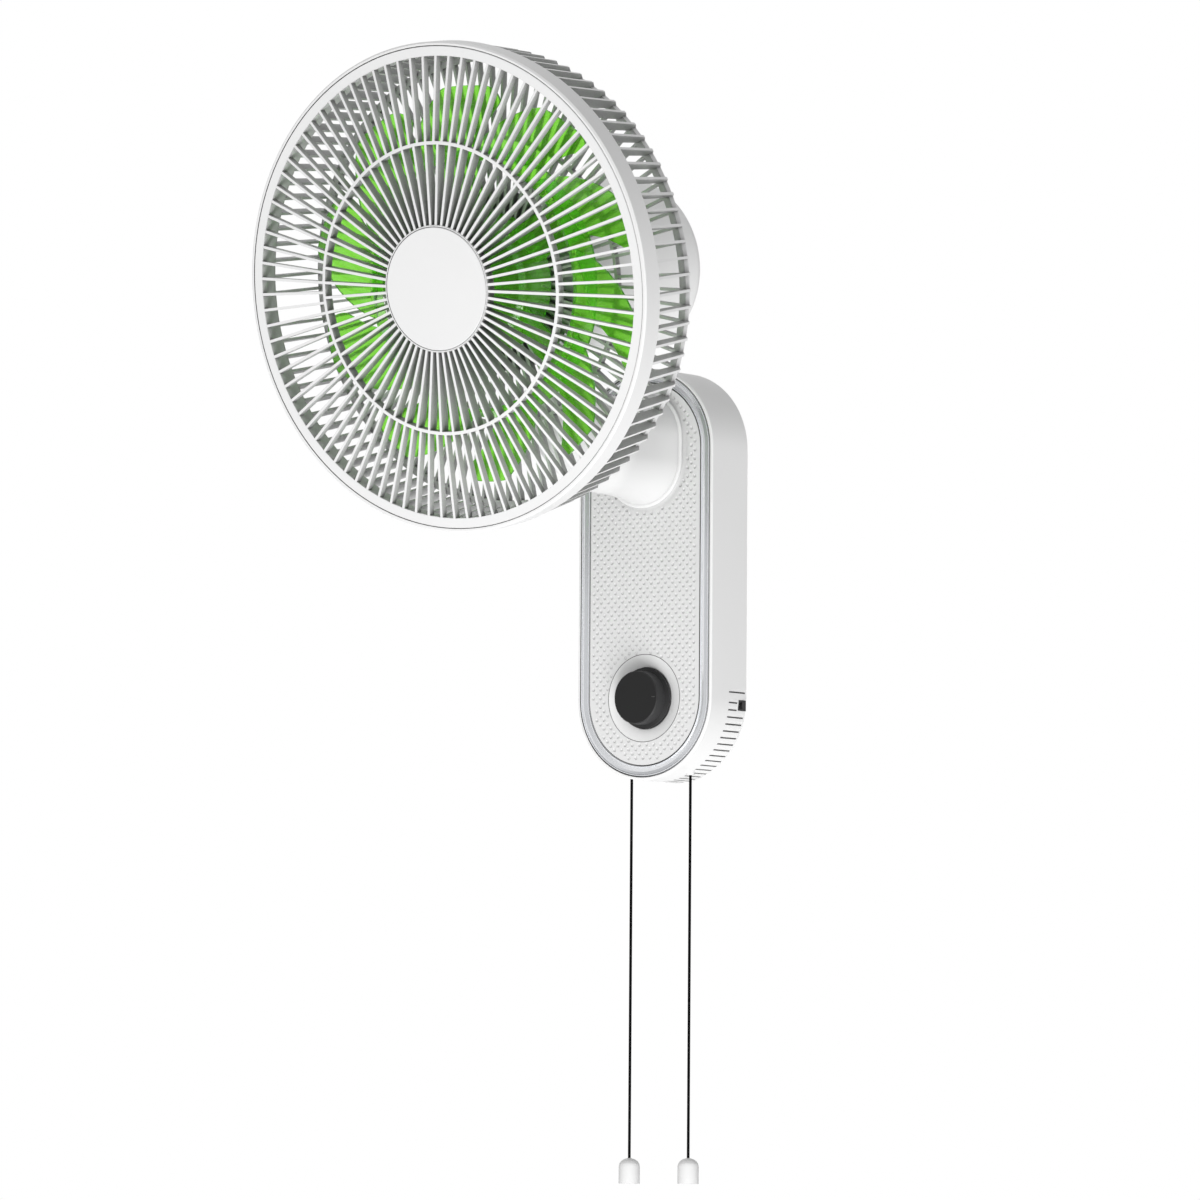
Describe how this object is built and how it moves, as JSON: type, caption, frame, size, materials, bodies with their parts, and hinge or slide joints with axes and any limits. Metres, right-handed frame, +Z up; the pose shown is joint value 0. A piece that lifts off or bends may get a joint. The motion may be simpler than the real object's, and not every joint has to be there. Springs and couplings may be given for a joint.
{
  "type": "wall mounted fan",
  "caption": "Wall mounted oscillating fan with green blades, a stadium-shaped base with a speed dial, a trumpet neck and pull cords.",
  "frame": {"origin": "on the wall, at the back of the wall bracket behind the middle of the base", "axes": "+Y into the wall, +Z up, +X right as seen from the room"},
  "size_m": [0.3599, 0.3292, 0.8331],
  "materials": {
    "white_plastic": "satin",
    "green_plastic": "gloss, translucent",
    "black_plastic": "satin",
    "silver_trim": "satin silver",
    "zinc_steel": "zinc plated",
    "core_steel": "bare laminations",
    "bearing_steel": "ground",
    "cast_alloy": "as cast",
    "copper_wire": "enamelled",
    "brass_bush": "sintered",
    "board_green": "satin",
    "cord_black": "braided"
  },
  "bodies": {
    "base": {"wall_bracket": "zinc_steel", "bracket_lock_screw": "zinc_steel", "rear_housing": "white_plastic", "front_panel": "white_plastic", "trim_ring": "silver_trim", "dial_dish": "white_plastic", "panel_screws": "zinc_steel", "neck_tube": "zinc_steel", "neck_elbow": "white_plastic", "neck_fork": "cast_alloy", "tilt_pin": "zinc_steel", "control_board": "board_green", "motor_capacitor": "white_plastic", "terminal_block": "white_plastic", "rotary_switch": "black_plastic", "mains_gland": "black_plastic", "pull_switch_left": "black_plastic", "pull_switch_right": "black_plastic", "cord_bushing_left": "black_plastic", "cord_bushing_right": "black_plastic"},
    "dial": {"knob": "black_plastic", "switch_shaft": "zinc_steel"},
    "pull_left": {"pull_cord_left": "cord_black", "pull_grip_left": "white_plastic", "switch_plunger_left": "black_plastic"},
    "pull_right": {"pull_cord_right": "cord_black", "pull_grip_right": "white_plastic", "switch_plunger_right": "black_plastic"},
    "swivel": {"tilt_knuckle": "cast_alloy", "swing_shaft": "zinc_steel", "swing_washer": "black_plastic", "swing_gear": "zinc_steel"},
    "pinion": {"swing_pinion": "zinc_steel"},
    "head": {"swing_bush": "brass_bush", "gear_plate": "zinc_steel", "swing_motor": "zinc_steel", "motor_cover": "white_plastic", "motor_front_bracket": "cast_alloy", "motor_rear_bracket": "cast_alloy", "stator_core": "core_steel", "stator_windings": "copper_wire", "front_bearing": "bearing_steel", "rear_bearing": "bearing_steel", "rear_guard": "white_plastic", "guard_nut": "white_plastic", "front_guard": "white_plastic", "hub_cap": "white_plastic"},
    "rotor": {"fan_blades": "green_plastic", "drive_pin": "zinc_steel", "motor_shaft": "bearing_steel", "blade_nut": "black_plastic", "rotor_core": "core_steel"}
  },
  "joints": [
    {"name": "tilt", "type": "hinge", "parent": "base", "child": "swivel", "pos_m": [0, -0.15003, 0.14118], "axis": [1, 0, 0], "range_deg": [-10, 15]},
    {"name": "swing", "type": "hinge", "parent": "swivel", "child": "head", "pos_m": [0, -0.16323, 0.21603], "axis": [0, -0.1736, 0.9848], "range_deg": [-40, 40]},
    {"name": "swing_drive", "type": "hinge", "parent": "head", "child": "pinion", "pos_m": [0, -0.14353, 0.2195], "axis": [0, -0.1736, 0.9848], "range_deg": [-160, 160]},
    {"name": "blades", "type": "hinge", "parent": "head", "child": "rotor", "pos_m": [0, -0.29815, 0.19224], "axis": [0, -0.9848, -0.1736], "continuous": true},
    {"name": "speed_dial", "type": "hinge", "parent": "base", "child": "dial", "pos_m": [0, -0.046, -0.094], "axis": [0, -1, 0], "range_deg": [-45, 225]},
    {"name": "pull_cord_left", "type": "slide", "parent": "base", "child": "pull_left", "axis": [0, 0, -1], "range_m": [0, 0.01], "stiffness_N_per_m": 600, "springref_m": -0.006},
    {"name": "pull_cord_right", "type": "slide", "parent": "base", "child": "pull_right", "axis": [0, 0, -1], "range_m": [0, 0.01], "stiffness_N_per_m": 600, "springref_m": -0.006}
  ],
  "couplings": [
    {"joint": "swing_drive", "follows": "swing", "ratio": 4}
  ]
}
